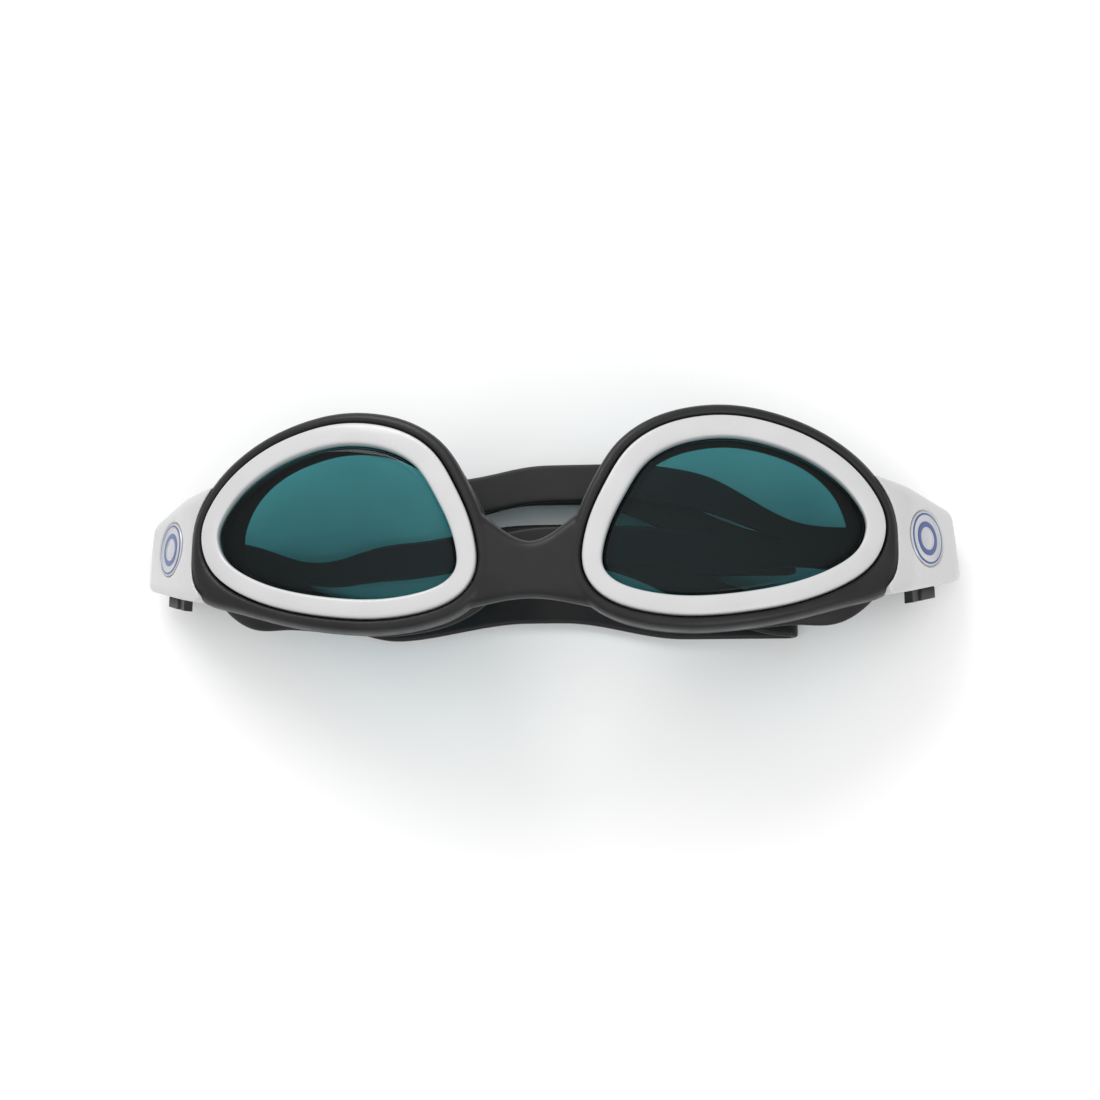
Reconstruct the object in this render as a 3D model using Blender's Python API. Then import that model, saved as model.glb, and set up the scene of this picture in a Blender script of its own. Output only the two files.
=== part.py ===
"""Swim goggles lying on their back, lenses up, with the head strap folded beneath the eye cups.

Frame: +X to the right-hand lens, +Y towards the forehead, +Z out of the lenses.
The origin is on the surface that the goggles lie on, under the middle of their bounding box.
"""

import math

import bmesh
import bpy
from mathutils import Matrix, Vector

MM = 0.001
GAP = 0.3 * MM                      # clearance between pieces that touch

# Outer edge of a lens rim, as x and y from the middle of the nose.
RIM_EDGE = [(71.6, -1.2), (69.4, 5.6), (63.4, 12.2), (53.8, 17.4), (41.0, 20.0), (29.0, 18.2),
            (20.2, 13.0), (14.9, 4.6), (11.3, -4.2), (10.7, -13.0), (16.6, -18.9), (30.0, -21.3),
            (46.0, -19.5), (59.0, -15.4), (68.3, -9.2)]
AROUND = 48                         # points round a lens

# The front follows the face: flat beside the nose, then sweeping back.
CREST_Z = 41.0 * MM                 # the rims' highest point above the surface
WRAP_START = 12 * MM
WRAP_SLOPE = 0.063
WRAP_CURVE = 3.65                   # 1/m, growth of the slope outwards
BROW_CURVE = 2.7                    # 1/m, fall towards brow and cheek
SEAL_DEPTH = 15.5 * MM              # from the front to the face beside the nose
SEAL_CURVE = 3.8                    # 1/m, how the face falls away sideways

RIM_WIDTH = 4.5 * MM
RIM_HEIGHT = 3.0 * MM
LENS_THICKNESS = 1.4 * MM
CUP_DEPTH = 8.0 * MM                # the firm cup behind the front
CUP_OUT = 2.8 * MM                  # how far the cup stands outside the rim
# Where the cup reaches further out or less: (place, extra reach, breadth).
CUP_FLARES = [((71.6, -3), -0.3, 6), ((66.5, -14.5), 1.2, 8), ((69, -9.5), 2.6, 5.5)]

LIP_OUT = 3.0 * MM                  # how far the seal's lip turns out
LIP_FLARE = ((62, -16), 2.2, 11)    # further out at the cheekbone
LIP_TRIM = 1.6 * MM                 # less along the cheek
EYE_OPENING = 3.6 * MM              # how far the lip turns in towards the eye
EYE_CORNER = ((71, -1), 4.0, 14)    # further in at the outer corner of the eye

# The nose bridge.
BRIDGE_TOP = -6.2 * MM
BRIDGE_RISE = 8.0 * MM              # how far its upper edge climbs towards the cups
BRIDGE_FOOT = -17.6 * MM
BRIDGE_SPREAD = 3.0 * MM            # and how far its lower edge sinks
BRIDGE_FRONT = -1.1 * MM            # below the front surface
BRIDGE_THICKNESS = 4.6 * MM

# A side arm, in its own directions: s along it to the rear, y as above, t out of its outer face.
ARM_ANGLE = math.radians(53)
ARM_START = Vector((68.5 * MM, 0, CREST_Z - 10.7 * MM))
ARM_WALL = 1.2 * MM
TONGUE_LOW = Vector((71.9, -6.0, -6.7)) * MM        # corners of its tongue, z below the front
TONGUE_HIGH = Vector((76.0, 2.0, -5.4)) * MM
ARM_THICKNESS = 6.3 * MM
ARM_EDGE = 0.9 * MM                 # how far its outer face rounds off towards brow and cheek
ARM_CREASE = (14.5 * MM, 0.45 * MM) # s and t of the crease between its front and rear faces
FRONT_SLOPE = 0.20
FRONT_CURVE = 11.5                  # 1/m, the front face bends on towards the cup
REAR_SLOPE = 0.049
TAIL_DROP = 1.0 * MM
ARM_END = 33.0 * MM
ARM_SLANT = 4.0 * MM                # the rear edge leans forwards towards the brow
ARM_TOP = [(-6, 11.9), (2, 10.3), (12, 8.6), (22, 6.8), (30, 5.4)]
ARM_FOOT = [(-6, -18.2), (6, -15.6), (16, -13.1), (26, -10.5), (33, -8.6)]

# The strap in the buckle.
STRAP_WIDTH = 9.4 * MM
STRAP_MIDDLE = -2.0 * MM
STRAP_THICKNESS = 1.6 * MM
STRAP_T = -4.2 * MM
STRAP_START_S = 19.7 * MM
RIB_FIRST_S = 20.4 * MM
RIB_PITCH = 2.2 * MM
RIB_WIDTH = 0.9 * MM
RIB_HEIGHT = 0.5 * MM
RIB_COUNT = 3

# The strap behind the cups: split in two bands, folded twice.
SPLIT_WIDTH = 22.2 * MM
SLOT_WIDTH = 5.4 * MM
LOW_LAYER = -9.2 * MM               # middle of the strap in its lowest layer
ARCH_LAYER = -5.4 * MM              # where that layer arches under the nose
HIGH_LAYER = 6.7 * MM               # middle of its highest layer
FOLD_DIP = 3.0 * MM                 # how far that layer sinks at its fold
FOLD_RADIUS = 1.4 * MM
RIGHT_FOLD_X = 52 * MM
LEFT_FOLD_X = -17.5 * MM

BAR_RADIUS = 0.9 * MM
BAR_S = 28.6 * MM
TURN_RADIUS = BAR_RADIUS + GAP + STRAP_THICKNESS / 2
BAR_T = STRAP_T - TURN_RADIUS
LUG_T = -7.4 * MM
LUG_WIDTH = 2.1 * MM
LUG_REACH = 1.8 * MM                # before and behind the bar

# The press button and the pawl that it lifts off the strap's ribs.
BUTTON_TRAVEL = 1.6 * MM
PAWL_LIFT = 0.5 * MM
BUTTON_S = (17.6 * MM, 26.0 * MM)
NOTCH_S = (20.6 * MM, 23.0 * MM)    # the space between the prongs, for the spring
NOTCH_FLOOR = -12.4 * MM
BUTTON_TIP = -8.7 * MM              # the prongs' ends
BUTTON_FOOT = -15.6 * MM
BUTTON_PROUD = 2.6 * MM             # how far the pad stands out below the arm
RAMP_LENGTH = 2.4 * MM
BUTTON_T = (-4.4 * MM, -2.75 * MM)
PAWL_S = (19.2 * MM, 24.8 * MM)
PAWL_T = (-2.4 * MM, -1.65 * MM)
PAWL_Y = (-9.2 * MM, 1.3 * MM)      # from the tips of its ears to its upper edge
TOOTH_WIDTH = 0.6 * MM
TOOTH_T = -3.1 * MM

SPRING_Y = (-12.1 * MM, -8.4 * MM)
SPRING_TURNS = 4
SPRING_RADIUS = 0.8 * MM
WIRE_RADIUS = 0.14 * MM

BADGE_S = 19.4 * MM
BADGE_Y = -1.9 * MM
BADGE_RADIUS = 5.8 * MM

BLACK_RUBBER = ("black_rubber", (0.030, 0.031, 0.034), 0.55)
BLACK_SILICONE = ("black_silicone", (0.022, 0.022, 0.024), 0.42)
WHITE_PLASTIC = ("white_plastic", (0.84, 0.85, 0.86), 0.28)
TEAL_LENS = ("teal_lens", (0.05, 0.24, 0.26), 0.05)
BLUE_PRINT = ("badge_blue", (0.05, 0.12, 0.42), 0.35)
DARK_PLASTIC = ("dark_plastic", (0.04, 0.042, 0.045), 0.45)
STEEL = ("spring_steel", (0.62, 0.62, 0.64), 0.3)


# Shapes

def smooth(t):
    t = max(0.0, min(1.0, t))
    return t * t * (3 - 2 * t)


def catmull(p0, p1, p2, p3, t):
    return 0.5 * (2 * p1 + (p2 - p0) * t + (2 * p0 - 5 * p1 + 4 * p2 - p3) * t * t
                  + (3 * p1 - p0 - 3 * p2 + p3) * t ** 3)


def even_loop(points, count, fine=24):
    """Evenly spaced points on the smooth closed curve through the given ones."""
    n = len(points)
    dense = [catmull(points[i - 1], points[i], points[(i + 1) % n], points[(i + 2) % n], k / fine)
             for i in range(n) for k in range(fine)]
    lengths = [0.0]
    for a, b in zip(dense, dense[1:] + dense[:1]):
        lengths.append(lengths[-1] + (b - a).length)
    even, k = [], 0
    for i in range(count):
        at = lengths[-1] * i / count
        while lengths[k + 1] < at:
            k += 1
        share = (at - lengths[k]) / (lengths[k + 1] - lengths[k])
        even.append(dense[k].lerp(dense[(k + 1) % len(dense)], share))
    return even


def swell(p, place):
    """A soft bump of extra reach round a place given as (position, reach, breadth) in millimetres."""
    at, reach, breadth = place
    return reach * MM * math.exp(-((p - Vector(at) * MM).length / (breadth * MM)) ** 2)


def flare(p, offset):
    """How much further the cup's wall reaches out near the arm, fading towards the rim."""
    return sum(swell(p, place) for place in CUP_FLARES) * min(1.0, offset / CUP_OUT)


def outline(offset=0.0, count=AROUND, flared=False, extra=None):
    """The rim's outer edge moved outwards by an offset, for the eye at +X.

    A flared outline reaches out as the cup does. The extra gives more reach at each point of the edge."""
    base = even_loop([Vector(p) * MM for p in RIM_EDGE], count)
    moved = []
    for i, p in enumerate(base):
        along = base[(i + 1) % count] - base[i - 1]
        reach = offset + (flare(p, offset) if flared and offset > GAP else 0.0)
        reach += extra(p) if extra else 0.0
        moved.append(p + Vector((along.y, -along.x)).normalized() * reach)
    return moved


def front_z(x, y):
    u = max(0.0, abs(x) - WRAP_START)
    return CREST_Z - WRAP_SLOPE * u - WRAP_CURVE * u * u - BROW_CURVE * y * y


def face_z(x, y):
    u = max(0.0, abs(x) - WRAP_START)
    return CREST_Z - SEAL_DEPTH - SEAL_CURVE * u * u - BROW_CURVE * y * y


def piecewise(table, s):
    """The height y at a distance s, read from (s, y) pairs in millimetres."""
    s /= MM
    for (s0, y0), (s1, y1) in zip(table, table[1:]):
        if s <= s1 or (s1, y1) == table[-1]:
            return (y0 + (y1 - y0) * (s - s0) / (s1 - s0)) * MM


def arm_point(s, y, t, side):
    """A point of a side arm in the goggles' frame."""
    x = ARM_START.x + s * math.cos(ARM_ANGLE) + t * math.sin(ARM_ANGLE)
    z = ARM_START.z - s * math.sin(ARM_ANGLE) + t * math.cos(ARM_ANGLE)
    return Vector((side * x, y, z))


# Blender objects

def clear_scene():
    for obj in list(bpy.data.objects):
        bpy.data.objects.remove(obj, do_unlink=True)


def collection(name, hidden=False):
    made = bpy.data.collections.new(name)
    bpy.context.scene.collection.children.link(made)
    made.hide_render = hidden
    return made


def material(look):
    name, colour, roughness = look
    found = bpy.data.materials.get(name)
    if found:
        return found
    made = bpy.data.materials.new(name)
    made.use_nodes = True
    shader = made.node_tree.nodes["Principled BSDF"]
    shader.inputs["Base Color"].default_value = (*colour, 1)
    shader.inputs["Roughness"].default_value = roughness
    shader.inputs["Metallic"].default_value = 1.0 if look is STEEL else 0.0
    if look is TEAL_LENS:
        shader.inputs["Transmission Weight"].default_value = 0.8
    return made


def add_object(name, mesh, look, group):
    obj = bpy.data.objects.new(name, mesh)
    group.objects.link(obj)
    if look:
        obj.data.materials.append(material(look))
    return obj


def solid_from(bm, name, look, group, smooth_angle=35):
    """Closes off a bmesh as an object whose faces point out."""
    bm.normal_update()
    bmesh.ops.triangulate(bm, faces=bm.faces)
    bmesh.ops.recalc_face_normals(bm, faces=bm.faces)
    mesh = bpy.data.meshes.new(name)
    bm.to_mesh(mesh)
    bm.free()
    mesh.shade_smooth()
    mesh.set_sharp_from_angle(angle=math.radians(smooth_angle))
    return add_object(name, mesh, look, group)


def loop_of(bm, points):
    return [bm.verts.new(p) for p in points]


def skin(bm, a, b):
    """Quads between two closed loops of the same length."""
    n = len(a)
    for i in range(n):
        bm.faces.new((a[i], a[(i + 1) % n], b[(i + 1) % n], b[i]))


def ring(name, profile, side, look, group, flared=False):
    """A closed ring round one eye, from a profile of (offset from the rim's edge, height above the front)."""
    bm = bmesh.new()
    loops = []
    for offset, rise in profile:
        points = outline(offset, AROUND, flared)
        loops.append(loop_of(bm, [(side * p.x, p.y, front_z(p.x, p.y) + rise) for p in points]))
    for a, b in zip(loops, loops[1:] + loops[:1]):
        skin(bm, a, b)
    return solid_from(bm, name, look, group)


def box(name, low, high, side, look, group):
    """A box given in an arm's own directions s, y and t."""
    centre = [(a + b) / 2 for a, b in zip(low, high)]
    size = [b - a for a, b in zip(low, high)]
    bm = bmesh.new()
    bmesh.ops.create_cube(bm, size=1.0)
    for v in bm.verts:
        s, y, t = (c + k * d for c, k, d in zip(centre, v.co, size))
        v.co = arm_point(s, y, t, side)
    return solid_from(bm, name, look, group)


def boolean(obj, other, operation):
    modifier = obj.modifiers.new(f"{operation.lower()}_{other.name}", "BOOLEAN")
    modifier.object = other
    modifier.operation = operation
    modifier.solver = "EXACT"


def as_cutter(obj):
    obj.hide_render = True
    obj.display_type = "WIRE"
    return obj


# The eye cups

def make_rim(side, tag, group):
    width, height = RIM_WIDTH, RIM_HEIGHT
    profile = [(0, -height), (0, -0.9 * MM), (-0.7 * MM, -0.25 * MM), (-2.0 * MM, 0),
               (-3.3 * MM, -0.25 * MM), (-width + 0.15 * MM, -1.0 * MM), (-width, -1.6 * MM),
               (-width, -height)]
    ring(f"rim_{tag}", profile, side, WHITE_PLASTIC, group)


def make_lens(side, tag, group):
    """A dished lens whose flange is held between the rim and the cup."""
    flange_top = -RIM_HEIGHT - GAP
    front = [(-1.3 * MM, flange_top), (-RIM_WIDTH - GAP, flange_top), (-RIM_WIDTH - GAP, -1.9 * MM),
             (-RIM_WIDTH - 0.9 * MM, -1.4 * MM)]
    back = [(-1.3 * MM, flange_top - LENS_THICKNESS), (-RIM_WIDTH - 0.8 * MM, flange_top - LENS_THICKNESS),
            (-RIM_WIDTH - 1.6 * MM, -1.4 * MM - LENS_THICKNESS)]
    bm = bmesh.new()
    loops = {}
    for name, rows in (("front", front), ("back", back)):
        loops[name] = []
        for offset, rise in rows:
            points = [(p.x, p.y, front_z(p.x, p.y) + rise) for p in outline(offset)]
            loops[name].append(loop_of(bm, [(side * x, y, z) for x, y, z in points]))
        edge = outline(rows[-1][0])
        rise = rows[-1][1]
        centre = sum(edge, Vector((0, 0))) / len(edge)
        for share in (0.7, 0.4):
            points = [centre.lerp(p, share) for p in edge]
            loops[name].append(loop_of(bm, [(side * p.x, p.y, front_z(p.x, p.y) + rise) for p in points]))
        for a, b in zip(loops[name], loops[name][1:]):
            skin(bm, a, b)
        tip = bm.verts.new((side * centre.x, centre.y, front_z(centre.x, centre.y) + rise))
        last = loops[name][-1]
        for i in range(len(last)):
            bm.faces.new((last[i], last[(i + 1) % len(last)], tip))
    skin(bm, loops["front"][0], loops["back"][0])
    solid_from(bm, f"lens_{tag}", TEAL_LENS, group)


def make_cup(side, tag, group):
    """One cup of the frame: it holds the rim, the lens flange and the arm's tongue."""
    ledge = -RIM_HEIGHT - GAP - LENS_THICKNESS - GAP
    step = -RIM_HEIGHT - GAP
    profile = [(GAP, -1.1 * MM), (0.9 * MM, -0.6 * MM), (1.7 * MM, -0.9 * MM), (2.3 * MM, -1.9 * MM),
               (CUP_OUT, -3.8 * MM), (2.4 * MM, -6.4 * MM), (1.8 * MM, -CUP_DEPTH), (-3.6 * MM, -CUP_DEPTH),
               (-3.6 * MM, ledge), (-1.0 * MM, ledge), (-1.0 * MM, step), (GAP, step)]
    return as_cutter(ring(f"cup_{tag}", profile, side, None, group, flared=True))


def lip_extra(p):
    """How much further the seal's lip turns out at a point of the rim's edge."""
    cheek = smooth((-p.y / MM - 12) / 7) * smooth((62 - p.x / MM) / 10)
    return swell(p, LIP_FLARE) - LIP_TRIM * cheek


def make_seal(side, tag, group):
    """The soft face seal behind a cup: a wall that widens into a lip, turned out and in over the face."""
    # Offset, shares of the lip's and the eye opening's extra reach, share of the way to the face, lift.
    rows = [(-3.4, 0, 0, 0, 0), (1.2, 0, 0, 0, 0), (0.9, 0.2, 0, 0.35, 0), (0.6, 0.6, 0, 0.7, 0),
            (1.6, 0.9, 0, 0.93, 0), (LIP_OUT / MM, 1, 0, 1, 0), (LIP_OUT / MM + 0.1, 1, 0, 1, -1.1),
            (0.5, 0.4, 0, 1, -0.8), (-2.2, 0, 0.6, 0.97, 0), (-EYE_OPENING / MM, 0, 1, 0.86, 0),
            (-3.2, 0, 0.9, 0.76, 0), (-1.5, 0, 0.2, 0.58, 0), (-2.6, 0, 0, 0.3, 0)]
    bm = bmesh.new()
    loops = []
    for offset, lip, eye, share, lift in rows:
        points = []
        for p in outline(offset * MM, extra=lambda e: lip * lip_extra(e) - eye * swell(e, EYE_CORNER)):
            start = front_z(p.x, p.y) - CUP_DEPTH - GAP
            points.append((side * p.x, p.y, start + (face_z(p.x, p.y) - start) * share + lift * MM))
        loops.append(loop_of(bm, points))
    for a, b in zip(loops, loops[1:] + loops[:1]):
        skin(bm, a, b)
    solid_from(bm, f"seal_{tag}", BLACK_SILICONE, group)


def bridge_half_width(y):
    """How far the bridge reaches sideways at a height y, into the cup's wall."""
    edge = [p for p in outline(1.1 * MM, 240) if p.x < 30 * MM]
    return min(edge, key=lambda p: abs(p.y - y)).x


def make_bridge(group):
    """The soft bridge over the nose, a curved plate between the two cups."""
    columns, rows = 14, 8
    bm = bmesh.new()
    grid = {}
    for i in range(columns + 1):
        u = 2 * i / columns - 1
        top = BRIDGE_TOP + BRIDGE_RISE * abs(u) ** 1.9
        foot = BRIDGE_FOOT - BRIDGE_SPREAD * u * u
        for j in range(rows + 1):
            v = 2 * j / rows - 1
            y = (top + foot) / 2 + (top - foot) / 2 * v
            x = u * bridge_half_width(y)
            half = BRIDGE_THICKNESS / 2 * (1 - 0.75 * abs(v) ** 4)
            middle = CREST_Z + BRIDGE_FRONT - BRIDGE_THICKNESS / 2 - BROW_CURVE * y * y
            grid[i, j, 1] = bm.verts.new((x, y, middle + half))
            grid[i, j, -1] = bm.verts.new((x, y, middle - half))
    for i in range(columns):
        for j in range(rows):
            for k in (1, -1):
                bm.faces.new((grid[i, j, k], grid[i + 1, j, k], grid[i + 1, j + 1, k], grid[i, j + 1, k]))
    rim = [(i, 0) for i in range(columns)] + [(columns, j) for j in range(rows)]
    rim += [(i, rows) for i in range(columns, 0, -1)] + [(0, j) for j in range(rows, 0, -1)]
    for a, b in zip(rim, rim[1:] + rim[:1]):
        bm.faces.new((grid[(*a, 1)], grid[(*b, 1)], grid[(*b, -1)], grid[(*a, -1)]))
    return solid_from(bm, "frame", BLACK_RUBBER, group)


# The side arms and their strap buckles

def outer_t(s):
    """The outer face: its front curves down level with the cup, its rear is straight behind a crease."""
    crease_s, crease_t = ARM_CREASE
    if s < crease_s:
        return crease_t - FRONT_SLOPE * (crease_s - s) - FRONT_CURVE * (crease_s - s) ** 2
    return crease_t + REAR_SLOPE * (s - crease_s) - TAIL_DROP * smooth((s - 29 * MM) / (5 * MM))


def arm_prism(name, side, look, group, span, inset, outer, inner_t, rounding=ARM_EDGE, slant=ARM_SLANT):
    """A block with the arm's outline moved in by an inset, from its outer face down to inner_t."""
    steps = 12
    bm = bmesh.new()
    rows = []
    for k in range(steps + 1):
        foot_s = span[0] + (span[1] - span[0]) * k / steps
        top_s = span[0] + (span[1] - slant - span[0]) * k / steps
        foot, top = piecewise(ARM_FOOT, foot_s) + inset, piecewise(ARM_TOP, top_s) - inset
        corners = []
        for share, edge in ((0.0, 1.0), (0.12, 0.25), (0.5, 0.0), (0.88, 0.25), (1.0, 1.0)):
            s = foot_s + (top_s - foot_s) * share
            corners.append(arm_point(s, foot + (top - foot) * share, outer(s) - edge * rounding, side))
        corners += [arm_point(top_s, top, inner_t, side), arm_point(foot_s, foot, inner_t, side)]
        rows.append(loop_of(bm, corners))
    for a, b in zip(rows, rows[1:]):
        skin(bm, a, b)
    bm.faces.new(rows[0])
    bm.faces.new(rows[-1])
    return solid_from(bm, name, look, group)


def strap_gap(extra=0.0):
    """The strap's two edges in the buckle with clearance, as (low, high)."""
    half = STRAP_WIDTH / 2 + GAP + extra
    return STRAP_MIDDLE - half, STRAP_MIDDLE + half


def make_arm(side, tag, group, cutters, wall_outline):
    """The white buckle body: hollow, open inwards, with two lugs for the strap bar."""
    shell = arm_prism(f"arm_shell_{tag}", side, WHITE_PLASTIC, group, (1 * MM, ARM_END), 0.0, outer_t,
                      -ARM_THICKNESS)
    hollow = arm_prism(f"hollow_{tag}", side, None, cutters, (4 * MM, ARM_END - ARM_WALL), ARM_WALL,
                       lambda s: outer_t(s) - ARM_WALL, -ARM_THICKNESS - 3 * MM, ARM_EDGE / 2)
    boolean(hollow, wall_outline(f"front_wall_{tag}", CUP_OUT + GAP + ARM_WALL), "DIFFERENCE")
    boolean(shell, as_cutter(hollow), "DIFFERENCE")
    low, high = strap_gap(0.5 * MM)
    mouth = box(f"mouth_{tag}", (BAR_S - 3 * MM, low, LUG_T - 3 * MM),
                (ARM_END + 3 * MM, high, STRAP_T + STRAP_THICKNESS / 2 + GAP), side, None, cutters)
    boolean(shell, as_cutter(mouth), "DIFFERENCE")
    low, high = strap_gap()
    for k, (a, b) in enumerate(((low - LUG_WIDTH, low), (high, high + LUG_WIDTH))):
        lug = box(f"lug_{tag}_{k}", (BAR_S - LUG_REACH, a, LUG_T), (BAR_S + LUG_REACH, b, -ARM_WALL), side,
                  None, cutters)
        boolean(shell, as_cutter(lug), "UNION")
    reached = BUTTON_TIP + BUTTON_TRAVEL + 0.1 * MM     # by the pressed prongs, with clearance
    slot = box(f"button_slot_{tag}", (BUTTON_S[0] - 0.2 * MM, -17 * MM, BUTTON_T[0] - 0.2 * MM),
               (BUTTON_S[1] + 0.2 * MM, reached, -1.7 * MM), side, None, cutters)
    boolean(shell, as_cutter(slot), "DIFFERENCE")
    boolean(shell, bar_shape(f"bar_holes_{tag}", side, None, cutters, 0.12 * MM), "DIFFERENCE")
    boolean(shell, wall_outline(f"cup_clearance_{tag}", CUP_OUT + GAP), "DIFFERENCE")
    boolean(shell, tongue_shape(f"tongue_{tag}", side, cutters, 0.0), "UNION")
    return shell


def tongue_shape(name, side, group, clearance):
    """The arm's tongue in the cup's outer wall, a flat block in the goggles' own directions."""
    z = front_z(TONGUE_LOW.x, 0)
    room = Vector((clearance, clearance, clearance))
    low = TONGUE_LOW + Vector((0, 0, z)) - room
    high = TONGUE_HIGH + Vector((0, 0, z)) + room
    bm = bmesh.new()
    bmesh.ops.create_cube(bm, size=1.0)
    for v in bm.verts:
        v.co = Vector((a + (b - a) * (k + 0.5) for a, b, k in zip(low, high, v.co)))
        v.co.x *= side
    return as_cutter(solid_from(bm, name, None, group))


def make_cover(side, tag, group, cutters, wall_outline):
    """The inner lid of the buckle, with the post that the button's spring pushes against."""
    cover = arm_prism(f"arm_cover_{tag}", side, WHITE_PLASTIC, group, (10 * MM, BAR_S - 3.2 * MM),
                      ARM_WALL + GAP, lambda s: -ARM_THICKNESS + 1.0 * MM, -ARM_THICKNESS, 0.0, 0.0)
    boolean(cover, wall_outline(f"cover_front_{tag}", CUP_OUT + ARM_WALL + 2 * GAP), "DIFFERENCE")
    post = box(f"post_{tag}", (NOTCH_S[0] + 0.3 * MM, -8.1 * MM, -ARM_THICKNESS + 0.5 * MM),
               (NOTCH_S[1] - 0.3 * MM, strap_gap()[0], -2.8 * MM), side, None, cutters)
    boolean(cover, as_cutter(post), "UNION")


def bar_shape(name, side, look, group, extra):
    """A short round bar across the rear of the buckle."""
    low, high = strap_gap(0.9 * MM + extra)
    bm = bmesh.new()
    ends = []
    for y in (low, high):
        turn = [2 * math.pi * (k + 0.5) / 16 for k in range(16)]
        reach = BAR_RADIUS + extra
        points = [arm_point(BAR_S + reach * math.cos(a), y, BAR_T + reach * math.sin(a), side) for a in turn]
        ends.append(loop_of(bm, points))
    skin(bm, *ends)
    bm.faces.new(ends[0])
    bm.faces.new(ends[1])
    made = solid_from(bm, name, look, group)
    return made if look else as_cutter(made)


def make_badge(side, tag, group, cutters, shell):
    """A round medallion let into the arm's outer face."""
    def disc(name, radius, look, where):
        bm = bmesh.new()
        bmesh.ops.create_cone(bm, cap_ends=True, segments=32, radius1=radius, radius2=radius - 0.2 * MM,
                              depth=0.9 * MM)
        for v in bm.verts:
            t = outer_t(BADGE_S) + REAR_SLOPE * v.co.x - 0.2 * MM + v.co.z
            v.co = arm_point(BADGE_S + v.co.x, BADGE_Y + v.co.y, t, side)
        return solid_from(bm, name, look, where)

    disc(f"badge_{tag}", BADGE_RADIUS, BLUE_PRINT, group)
    bed = disc(f"badge_bed_{tag}", BADGE_RADIUS + GAP, None, cutters)
    boolean(shell, as_cutter(bed), "DIFFERENCE")


def slab(name, corners, span, side, look, group):
    """A prism along the arm from s = span[0] to span[1] with the given (y, t) corners in millimetres."""
    bm = bmesh.new()
    ends = [loop_of(bm, [arm_point(s, y * MM, t * MM, side) for y, t in corners]) for s in span]
    skin(bm, *ends)
    bm.faces.new(ends[0])
    bm.faces.new(ends[1])
    return solid_from(bm, name, look, group)


def make_button(side, tag, group, cutters):
    """The press button: a pad below the arm, and two prongs whose sloped faces lift the pawl."""
    low_t, tip_t = BUTTON_T[0] / MM, BUTTON_T[1] / MM
    tip, foot = BUTTON_TIP / MM, BUTTON_FOOT / MM
    ramp = RAMP_LENGTH / MM
    top_t = tip_t + ramp * PAWL_LIFT / BUTTON_TRAVEL
    corners = [(foot, low_t), (foot, top_t), (tip - ramp, top_t), (tip, tip_t), (tip, low_t)]
    button = slab(f"button_{tag}", corners, BUTTON_S, side, DARK_PLASTIC, group)
    notch = box(f"notch_{tag}", (NOTCH_S[0], NOTCH_FLOOR, -ARM_THICKNESS), (NOTCH_S[1], -7 * MM, 0), side,
                None, cutters)
    boolean(button, as_cutter(notch), "DIFFERENCE")
    under = arm_prism(f"button_foot_{tag}", side, None, cutters, (10 * MM, 32 * MM), -BUTTON_PROUD,
                      lambda s: 2 * MM, -8 * MM, 0.0, 0.0)
    boolean(button, as_cutter(under), "INTERSECT")


def make_pawl(side, tag, group, cutters):
    """The toothed plate that holds the ribbed strap, with two ears over the button's slopes."""
    strap_low = strap_gap()[0]
    s0, s1 = PAWL_S
    n0, n1 = NOTCH_S[0] - GAP, NOTCH_S[1] + GAP
    ear, top = PAWL_Y
    corners = [(s0, ear), (n0, ear), (n0, strap_low), (n1, strap_low), (n1, ear), (s1, ear),
               (s1, top), (s0, top)]
    bm = bmesh.new()
    ends = [loop_of(bm, [arm_point(s, y, t, side) for s, y in corners]) for t in PAWL_T]
    skin(bm, *ends)
    bm.faces.new(ends[0])
    bm.faces.new(ends[1])
    pawl = solid_from(bm, f"pawl_{tag}", DARK_PLASTIC, group)
    for k in range(RIB_COUNT - 1):
        middle = RIB_FIRST_S + RIB_PITCH * (k + 0.5)
        tooth = box(f"tooth_{tag}_{k}", (middle - TOOTH_WIDTH / 2, strap_low + 0.6 * MM, TOOTH_T),
                    (middle + TOOTH_WIDTH / 2, 1.0 * MM, PAWL_T[0] + 0.4 * MM), side, None, cutters)
        boolean(pawl, as_cutter(tooth), "UNION")


def make_spring(side, tag, group):
    """The coil spring that pushes the button out."""
    per_turn = 8
    low, high = SPRING_Y
    curve = bpy.data.curves.new(f"button_spring_{tag}", "CURVE")
    curve.dimensions = "3D"
    curve.bevel_depth = WIRE_RADIUS
    curve.bevel_resolution = 0
    curve.use_fill_caps = True
    count = SPRING_TURNS * per_turn + 1
    coil = curve.splines.new("POLY")
    coil.points.add(count - 1)
    middle_s = sum(NOTCH_S) / 2
    middle_t = sum(BUTTON_T) / 2
    for i in range(count):
        turn = 2 * math.pi * i / per_turn
        y = low + (high - low) * i / (count - 1)
        across, along = SPRING_RADIUS * math.cos(turn), SPRING_RADIUS * math.sin(turn)
        at = arm_point(middle_s + across, y, middle_t + along, side)
        coil.points[i].co = (*at, 1)
    curve.materials.append(material(STEEL))
    spring = bpy.data.objects.new(f"button_spring_{tag}", curve)
    group.objects.link(spring)


# The head strap

def arc(centre, radius, start, end, step=math.radians(18)):
    count = max(2, int(abs(end - start) / step))
    return [centre + radius * Vector((math.cos(a), math.sin(a)))
            for a in (start + (end - start) * k / count for k in range(1, count))]


def line(a, b, step):
    count = max(1, int((b - a).length / step))
    return [a.lerp(b, k / count) for k in range(count + 1)]


def arm_xz(s, t, side):
    p = arm_point(s, 0, t, side)
    return Vector((p.x, p.z))


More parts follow.
